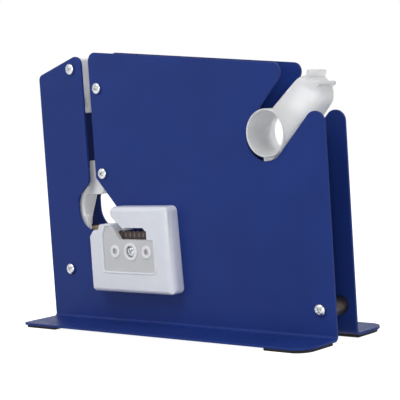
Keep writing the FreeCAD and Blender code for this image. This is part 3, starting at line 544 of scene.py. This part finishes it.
@dataclass(frozen=True)
class CoreHolder:
    """The tape core's holder: a thin walled hub tube, a pillow shaped arm, two ribs, a foot and a key."""

    hub_mm: tuple[float, float] = (80.599, 125.543)
    slope: float = 45.6
    radius: float = 14.7
    wall: float = 1.3
    half_length: float = 13.8
    arm_root: tuple[float, float, float] = (0.0, -3.1, 11.6)
    arm_end: tuple[float, float, float] = (34.0, -4.0, 10.7)
    arm_half: float = 13.8
    arm_fall: float = 0.15
    arm_level: float = 13.0
    pillow: float = 6.0
    rib_wide: float = 8.0
    rib_half: float = 1.25
    ribs: tuple[tuple[float, float], ...] = ((73.0, 14.6), (27.5, 13.0))
    foot_reach: float = 18.3
    foot_half: float = 9.0
    foot_from: float = 148.0
    foot_to: float = 180.0
    key_left: float = 76.5
    key_right: float = 84.0
    key_half: float = 11.0
    around: int = 96

    def place(self, along: np.ndarray, beside: np.ndarray) -> tuple[np.ndarray, np.ndarray]:
        """Row X and Z in millimetres of places up the notch and to its upper left side."""
        lean = math.radians(self.slope)
        across = self.hub_mm[0] + along * math.cos(lean) - beside * math.sin(lean)
        return across, self.hub_mm[1] + along * math.sin(lean) + beside * math.cos(lean)

    def hub(self) -> bpy.types.Mesh:
        """The tube, spun from the closed outline of its wall with round lips at both ends."""
        inner, lip = self.radius - self.wall, self.wall / 2
        bend = np.linspace(0, np.pi, 9)
        front = np.stack((inner + lip - lip * np.cos(bend), -self.half_length + lip - lip * np.sin(bend)), axis=-1)
        back = np.stack((inner + lip + lip * np.cos(bend), self.half_length - lip + lip * np.sin(bend)), axis=-1)
        wall = np.vstack((front, back))
        angles = np.linspace(0, 2 * np.pi, self.around, endpoint=False)
        reach, deep = wall[:, 0][:, None], wall[:, 1][:, None]
        rings = np.stack((
            self.hub_mm[0] + reach * np.cos(angles),
            deep + 0 * angles,
            self.hub_mm[1] + reach * np.sin(angles),
        ), axis=-1)
        return tube_mesh("holder_hub", rings * MM, capped=False)

    def arm_outline(self, inset: float) -> np.ndarray:
        """The arm's outline across and up in millimetres: two tangents and a round end, closed along the hub's wall."""
        (root_at, root_aside, root), (end_at, end_aside, end) = self.arm_root, self.arm_end
        root, end = root - inset, end - inset
        run, rise = end_at - root_at, end_aside - root_aside
        lean, spread = math.atan2(rise, run), math.acos((root - end) / math.hypot(run, rise))
        start, stop = lean - spread, lean + spread
        turns = np.linspace(start, stop, 40)
        tip = np.stack((end_at + end * np.cos(turns), end_aside + end * np.sin(turns)), axis=-1)
        middle = self.radius - self.wall / 2
        feet = []
        for turn in (start, stop):
            touch = np.array((root_at + root * math.cos(turn), root_aside + root * math.sin(turn)))
            slide = np.array((-math.sin(turn), math.cos(turn))) * (1 if turn == start else -1)
            b, c = touch @ slide, touch @ touch - middle ** 2
            feet.append(touch + slide * (-b + math.sqrt(max(b * b - c, 0.0))))
        low, high = (math.atan2(foot[1], foot[0]) for foot in feet)
        curve = np.linspace(high, low, 16)
        along_wall = np.stack((middle * np.cos(curve), middle * np.sin(curve)), axis=-1)
        return np.vstack((tip, along_wall))

    def arm(self) -> bpy.types.Mesh:
        """The pillow shaped arm: its outline draws in near both faces by a quarter circle."""
        turns = np.linspace(0, np.pi / 2, 9)
        insets = self.pillow * (1 - np.cos(turns[::-1]))
        depths = self.arm_half - self.pillow + self.pillow * np.sin(turns[::-1])
        layers = [(-depth, inset) for depth, inset in zip(depths, insets)]
        layers += [(-depth, inset) for depth, inset in reversed(layers)]
        rings = []
        for depth, inset in layers:
            outline = self.arm_outline(inset)
            across, up = self.place(outline[:, 0], outline[:, 1])
            thinner = 1 - self.arm_fall * np.maximum(outline[:, 0] - self.arm_level, 0) / self.arm_half
            rings.append(np.stack((across, depth * thinner, up), axis=-1))
        return tube_mesh("holder_arm", np.array(rings) * MM)

    def rib(self, angle: float, reach: float) -> bpy.types.Mesh:
        """A rib: a flat bar with a round outer end, standing out of the arm's end."""
        at, aside, end = self.arm_end
        across, up = self.place(np.array(at), np.array(aside))
        way = math.radians(angle)
        out, side = np.array((math.cos(way), math.sin(way))), np.array((-math.sin(way), math.cos(way)))
        bend = np.linspace(-np.pi / 2, np.pi / 2, 9)
        tip = [out * (reach - self.rib_half + self.rib_half * math.cos(b)) + side * self.rib_half * math.sin(b)
               for b in bend]
        loop = np.array([out * end / 3 - side * self.rib_half, *tip, out * end / 3 + side * self.rib_half])
        soft = 0.5
        wide = self.rib_wide
        layers = ((-wide, soft), (soft - wide, 0.0), (wide - soft, 0.0), (wide, soft))
        middle = loop.mean(axis=0)
        rings = []
        for depth, inset in layers:
            drawn = middle + (loop - middle) * (1 - inset / reach)
            rings.append(np.stack((across + drawn[:, 0], np.full(len(loop), depth), up + drawn[:, 1]), axis=-1))
        return tube_mesh("holder_rib", np.array(rings) * MM)

    def sector(self, name: str, inner: float, outer: float, low: float, high: float, half: float) -> bpy.types.Mesh:
        """A block between two radii and two angles round the hub's axis."""
        angles = np.radians(np.linspace(low, high, 24))
        loop = np.vstack((
            np.stack((outer * np.cos(angles), outer * np.sin(angles)), axis=-1),
            np.stack((inner * np.cos(angles[::-1]), inner * np.sin(angles[::-1])), axis=-1),
        ))
        rings = [np.stack((self.hub_mm[0] + loop[:, 0], np.full(len(loop), depth), self.hub_mm[1] + loop[:, 1]), axis=-1)
                 for depth in (-half, half)]
        return tube_mesh(name, np.array(rings) * MM)

    def key(self) -> bpy.types.Mesh:
        """The key under the hub, which fills the notch's round end."""
        notch_x, notch_z = self.place(np.array(-3.0), np.array(0.0))
        across = np.linspace(self.key_left, self.key_right, 10)
        floor = notch_z - np.sqrt(self.radius ** 2 - (across - notch_x) ** 2)
        roof = self.hub_mm[1] - np.sqrt((self.radius - self.wall / 2) ** 2 - (across - self.hub_mm[0]) ** 2)
        loop = np.vstack((np.stack((across, floor), axis=-1), np.stack((across, roof), axis=-1)[::-1]))
        rings = [np.stack((loop[:, 0], np.full(len(loop), depth), loop[:, 1]), axis=-1)
                 for depth in (-self.key_half, self.key_half)]
        return tube_mesh("holder_key", np.array(rings) * MM)

    def build(self, workshop: Workshop) -> bpy.types.Object:
        """Makes the holder as one piece."""
        middle = self.radius - self.wall / 2
        parts = [self.hub(), self.arm(), *(self.rib(angle, reach) for angle, reach in self.ribs),
                 self.sector("holder_foot", middle, self.foot_reach, self.foot_from, self.foot_to, self.foot_half),
                 self.key()]
        return workshop.settle(joined_mesh("holder_moulding", parts), "core_holder", 40.0)


@dataclass(frozen=True)
class PillowCover:
    """The trimmer's cover, whose front face falls away softly towards its outer sides."""

    node: str = "trimmer_cover"
    right_low_mm: tuple[float, float] = (4.1, 24.9)
    right_high_mm: tuple[float, float] = (2.3, 82.4)
    left_mm: float = -72.0
    left_top_mm: float = 62.0
    arm_left_mm: float = -50.5
    face_mm: float = -21.5
    fall_mm: float = 5.5
    side_fall_mm: float = 3.2
    cuts: int = 8
    round_mm: float = 0.4

    def sides(self) -> list[tuple[Vector, Vector, float]]:
        """A point, the inward direction and the fall of each outer side: right, bottom, top and left."""
        low, high = (Vector((x, 0, z)) * MM for x, z in (self.right_low_mm, self.right_high_mm))
        run = (high - low).normalized()
        return [
            (low, Vector((-run.z, 0, run.x)), self.fall_mm),
            (low, Vector((0, 0, 1)), self.side_fall_mm),
            (high, Vector((0, 0, -1)), self.side_fall_mm),
            (Vector((self.left_mm * MM, 0, 0)), Vector((1, 0, 0)), self.side_fall_mm),
        ]

    def build(self, workshop: Workshop) -> bpy.types.Object:
        """Cuts lines into the face along each side and lets the points near a side fall back in a quarter circle.

        Args:
            workshop: where the piece is finished.

        Returns:
            The cover.
        """
        work = bmesh.new()
        work.from_mesh(frame["nodes"][self.node].data)
        bmesh.ops.remove_doubles(work, verts=work.verts, dist=0.002 * MM)
        bmesh.ops.dissolve_limit(work, angle_limit=math.radians(0.6), verts=work.verts, edges=work.edges)
        for spot, inward, fall in self.sides():
            for i in range(self.cuts):
                near = fall * MM * (1 - math.cos(math.pi / 2 * (i + 1) / self.cuts))
                everything = [*work.verts, *work.edges, *work.faces]
                bmesh.ops.bisect_plane(work, geom=everything, plane_co=spot + inward * near, plane_no=inward)
        face = self.face_mm * MM
        for vert in work.verts:
            drop = 0.0
            for spot, inward, fall in self.sides():
                near = (vert.co - spot).dot(inward)
                of_left = inward.x > 0.9
                off_side = of_left and vert.co.z > self.left_top_mm * MM
                off_side = off_side or (inward.z < -0.9 and vert.co.x < self.arm_left_mm * MM)
                reach = fall * MM
                if near < reach and not off_side:
                    drop = max(drop, reach - math.sqrt(max(reach ** 2 - (reach - near) ** 2, 0.0)))
            if vert.co.y < face + drop and vert.co.y < face + 6 * MM:
                vert.co.y = face + drop
        mesh = bpy.data.meshes.new("trimmer_cover_pillow")
        work.to_mesh(mesh)
        work.free()
        piece = workshop.settle(mesh, self.node, 32.0)
        bevel = piece.modifiers.new("soft_edges", "BEVEL")
        bevel.width, bevel.segments = self.round_mm * MM, 2
        bevel.limit_method = "ANGLE"
        bevel.angle_limit = math.radians(32)
        bevel.harden_normals = True
        return piece


@dataclass(frozen=True)
class SeatTrim:
    """The fine raised lines on the trimmer: a bead round the inset plate and a white ring round each hole."""

    bead_mm: float = 0.75
    bead_line: tuple[tuple[float, float, float], ...] = (
        (-59.0, 60.6, 1.5), (-59.0, 38.4, 2.0), (-10.3, 38.4, 3.0), (-10.3, 61.0, 1.0),
    )
    face_mm: float = -21.5
    ring_z_mm: float = 52.6
    ring_x_mm: tuple[float, float, float] = (-47.05, -32.5, -17.95)
    ring_reach_mm: tuple[tuple[float, float], ...] = ((2.0, 4.3), (3.9, 6.0), (2.0, 4.3))
    ring_proud_mm: float = 0.35
    body: str = "frame"
    slot: str = "white_plastic"
    ring_slot: str = "grey_plastic"

    def bead(self, workshop: Workshop) -> None:
        """Sweeps the bead, a low half round line, down the left, along the foot and up the right."""
        path: list[tuple[float, float]] = []
        corners = self.bead_line
        for i, (x, z, radius) in enumerate(corners):
            if i in (0, len(corners) - 1):
                path.append((x, z))
                continue
            here, before, after = (np.array(corners[k][:2]) for k in (i, i - 1, i + 1))
            back, ahead = before - here, after - here
            back, ahead = back / np.linalg.norm(back), ahead / np.linalg.norm(ahead)
            centre = here + (back + ahead) * radius
            for share in np.linspace(0, np.pi / 2, 7):
                path.append(tuple(centre - ahead * radius * math.cos(share) - back * radius * math.sin(share)))
        line = np.array(path)
        tangent = np.gradient(line, axis=0)
        tangent /= np.linalg.norm(tangent, axis=1)[:, None]
        aside = np.stack((tangent[:, 1], -tangent[:, 0]), axis=-1)
        turns = np.linspace(0, 2 * np.pi, 12, endpoint=False)
        across = line[:, None, :] + aside[:, None, :] * self.bead_mm * np.cos(turns)[None, :, None]
        deep = self.face_mm + 0.1 - self.bead_mm * 0.8 * np.sin(turns)
        rings = np.stack((across[..., 0], np.broadcast_to(deep, across.shape[:2]), across[..., 1]), axis=-1)
        workshop.add(tube_mesh("trimmer_bead", rings * MM), self.body, self.slot, 60.0)

    def rings(self, workshop: Workshop) -> None:
        """Spins the three rings, each a flat band with round edges."""
        made = []
        bend = np.linspace(0, np.pi, 11)
        angles = np.linspace(0, 2 * np.pi, 64, endpoint=False)
        for x, (inner, outer) in zip(self.ring_x_mm, self.ring_reach_mm):
            middle, half = (inner + outer) / 2, (outer - inner) / 2
            reach = middle - half * np.sign(np.cos(bend)) * np.abs(np.cos(bend)) ** 0.6
            rise = self.face_mm + 0.3 - (self.ring_proud_mm + 0.1) * np.sin(bend) ** 0.6
            reach, rise = np.append(reach, reach[::-1][1:-1]), np.append(rise, np.full(9, self.face_mm + 0.5))
            rings = np.stack((
                x + reach[:, None] * np.cos(angles), np.broadcast_to(rise[:, None], (len(reach), 64)),
                self.ring_z_mm + reach[:, None] * np.sin(angles)), axis=-1)
            made.append(tube_mesh("ring", rings * MM, capped=False))
        workshop.add(joined_mesh("trimmer_rings", made), self.body, self.ring_slot, 60.0)

    def build(self, workshop: Workshop) -> None:
        """Makes the bead and the rings."""
        self.bead(workshop)
        self.rings(workshop)


@dataclass(frozen=True)
class SealerPieces:
    """Every piece that stands in for a node of the frame."""

    softened: tuple[SoftPiece, ...] = (
        SoftPiece("front_plate", 0.35), SoftPiece("back_plate", 0.35),
        SoftPiece("pad_front_left", 0.5), SoftPiece("pad_front_right", 0.5),
        SoftPiece("pad_back_left", 0.5), SoftPiece("pad_back_right", 0.5),
        SoftPiece("catch_block", 0.8, 3), SoftPiece("press_lever", 0.5, 3),
        SoftPiece("press_roller", 0.5, 3),
        SoftPiece("trimmer_insert", 0.3, 2), SoftPiece("guide_roller", 0.5, 3),
        SoftPiece("corner_spacer", 0.4), SoftPiece("heel_spacer", 0.4),
    )
    screws: tuple[PanHeads, ...] = (
        PanHeads("front_screws", True), PanHeads("back_screws", False),
        PanHeads("trimmer_screw", True, arm_long=0.62, recess_deep=0.7),
    )

    def build(self, workshop: Workshop) -> None:
        """Builds the softened pieces, the screws and the holder."""
        for piece in (*self.softened, *self.screws, CoreHolder(), PillowCover(), SeatTrim()):
            piece.build(workshop)


@dataclass
class FinishedNodes:
    """The frame's own nodes, each given the finish of its material slot."""

    smooth_angle: float = 35.0
    materials: dict[str, bpy.types.Material] = field(default_factory=dict)

    def dress(self) -> None:
        """Makes each finish and puts it on the nodes that the record gives it."""
        for finish in FINISHES:
            self.materials[finish.name] = finish.make()
        for part in frame["record"]["subparts"]:
            node = frame["nodes"][part["node"]]
            node.data.materials.clear()
            node.data.materials.append(self.materials[part["material_slot"]])
            log.info("%s is finished as %s", part["node"], part["material_slot"])


@dataclass
class Studio:
    """A pale floor, soft lamps and the camera at the photograph's place."""

    look_at_mm: Colour = (-2.5, 1.0, 89.0)
    heading: float = 41.8533
    dip: float = 3.642
    roll: float = -3.7772
    distance_mm: float = 775.839
    focal_px: float = 1185.386
    frame_px: float = 400.0
    centre_px: tuple[float, float] = (182.9243, 193.4142)
    sensor_mm: float = 36.0

    def camera(self) -> None:
        """Places the camera from its heading, dip and roll about the point that it looks at."""
        heading, dip, roll = (math.radians(a) for a in (self.heading, self.dip, self.roll))
        ahead = Vector((-math.sin(heading) * math.cos(dip), math.cos(heading) * math.cos(dip), -math.sin(dip)))
        level = Vector((math.cos(heading), math.sin(heading), 0.0))
        above = level.cross(ahead)
        right = math.cos(roll) * level + math.sin(roll) * above
        up = -math.sin(roll) * level + math.cos(roll) * above
        aside = (self.centre_px[0] - self.frame_px / 2) / self.focal_px * self.distance_mm
        below = (self.centre_px[1] - self.frame_px / 2) / self.focal_px * self.distance_mm
        eye = Vector(self.look_at_mm) - ahead * self.distance_mm - right * aside + up * below
        lens = bpy.data.cameras.new("studio_camera")
        lens.sensor_fit = "HORIZONTAL"
        lens.sensor_width = self.sensor_mm
        lens.lens = self.sensor_mm * self.focal_px / self.frame_px
        lens.clip_start, lens.clip_end = 0.1, 50.0
        body = bpy.data.objects.new("studio_camera", lens)
        place = Matrix((right, up, -ahead)).transposed().to_4x4()
        place.translation = eye * MM
        body.matrix_world = place
        bpy.context.scene.collection.objects.link(body)
        bpy.context.scene.camera = body

    def seen(self, tree: bpy.types.NodeTree) -> bpy.types.NodeSocket:
        """1 for rays from the camera, a mirror or glass, and 0 for rays that light the object."""
        path = tree.nodes.new("ShaderNodeLightPath")
        total = None
        for name in ("Is Camera Ray", "Is Glossy Ray", "Is Transmission Ray"):
            if total is None:
                total = path.outputs[name]
                continue
            add = tree.nodes.new("ShaderNodeMath")
            add.operation = "MAXIMUM"
            tree.links.new(total, add.inputs[0])
            tree.links.new(path.outputs[name], add.inputs[1])
            total = add.outputs[0]
        return total

    def floor(self) -> None:
        """Lays a wide white floor that keeps the object's shadow."""
        mesh = bpy.data.meshes.new("floor")
        half = 30.0
        mesh.from_pydata([(-half, -half, 0), (half, -half, 0), (half, half, 0), (-half, half, 0)], [], [(0, 1, 2, 3)])
        ground = bpy.data.objects.new("floor", mesh)
        bpy.context.scene.collection.objects.link(ground)
        material = bpy.data.materials.new("floor_white")
        material.use_nodes = True
        tree = material.node_tree
        tree.nodes.remove(tree.nodes["Principled BSDF"])
        matt = tree.nodes.new("ShaderNodeBsdfDiffuse")
        matt.inputs["Color"].default_value = (0.55, 0.55, 0.55, 1)
        glow = tree.nodes.new("ShaderNodeEmission")
        scale = tree.nodes.new("ShaderNodeMath")
        scale.operation = "MULTIPLY"
        scale.inputs[1].default_value = 0.95
        tree.links.new(self.seen(tree), scale.inputs[0])
        tree.links.new(scale.outputs[0], glow.inputs["Strength"])
        both = tree.nodes.new("ShaderNodeAddShader")
        tree.links.new(matt.outputs[0], both.inputs[0])
        tree.links.new(glow.outputs[0], both.inputs[1])
        tree.links.new(both.outputs[0], tree.nodes["Material Output"].inputs["Surface"])
        mesh.materials.append(material)

    def world(self) -> None:
        """A white surround that lights the object less than it shows."""
        world = bpy.data.worlds.new("surround")
        world.use_nodes = True
        bpy.context.scene.world = world
        tree = world.node_tree
        back = tree.nodes["Background"]
        back.inputs["Color"].default_value = (1, 1, 1, 1)
        level = tree.nodes.new("ShaderNodeMapRange")
        level.inputs["To Min"].default_value = 0.24
        level.inputs["To Max"].default_value = 1.0
        tree.links.new(self.seen(tree), level.inputs["Value"])
        tree.links.new(level.outputs["Result"], back.inputs["Strength"])

    def lamp(self, name: str, at_mm: Colour, size_mm: tuple[float, float], watts: float, tint: Colour = (1, 1, 1)) -> None:
        """Hangs a soft box that points at the object.

        Args:
            name: the lamp's name.
            at_mm: its centre.
            size_mm: its width and height.
            watts: its power.
            tint: its colour.
        """
        light = bpy.data.lights.new(name, "AREA")
        light.shape = "RECTANGLE"
        light.size, light.size_y = size_mm[0] * MM, size_mm[1] * MM
        light.energy = watts
        light.color = tint
        box = bpy.data.objects.new(name, light)
        at = Vector(at_mm) * MM
        aim = (Vector(self.look_at_mm) * MM - at).to_track_quat("-Z", "Y")
        box.matrix_world = Matrix.LocRotScale(at, aim, None)
        bpy.context.scene.collection.objects.link(box)

    def light(self) -> None:
        """Hangs the studio's soft boxes."""
        self.lamp("key", (-60, -560, 760), (500, 400), 3.1)
        self.lamp("front", (700, -785, 175), (300, 300), 3.0)
        self.lamp("left", (-700, -800, 420), (500, 500), 0.8)
        self.lamp("side", (1800, -300, 900), (1000, 1400), 7.0)
        self.lamp("top", (200, 500, 1900), (1600, 1200), 10.0)

    def build(self) -> None:
        """Sets up the whole studio."""
        self.camera()
        self.floor()
        self.world()
        self.light()
        bpy.context.scene.view_settings.view_transform = "Standard"


def main() -> None:
    """Builds each part of the scene in order."""
    Studio().build()
    nodes = FinishedNodes()
    nodes.dress()
    SealerPieces().build(Workshop(nodes.materials))


if __name__ == "__main__":
    main()
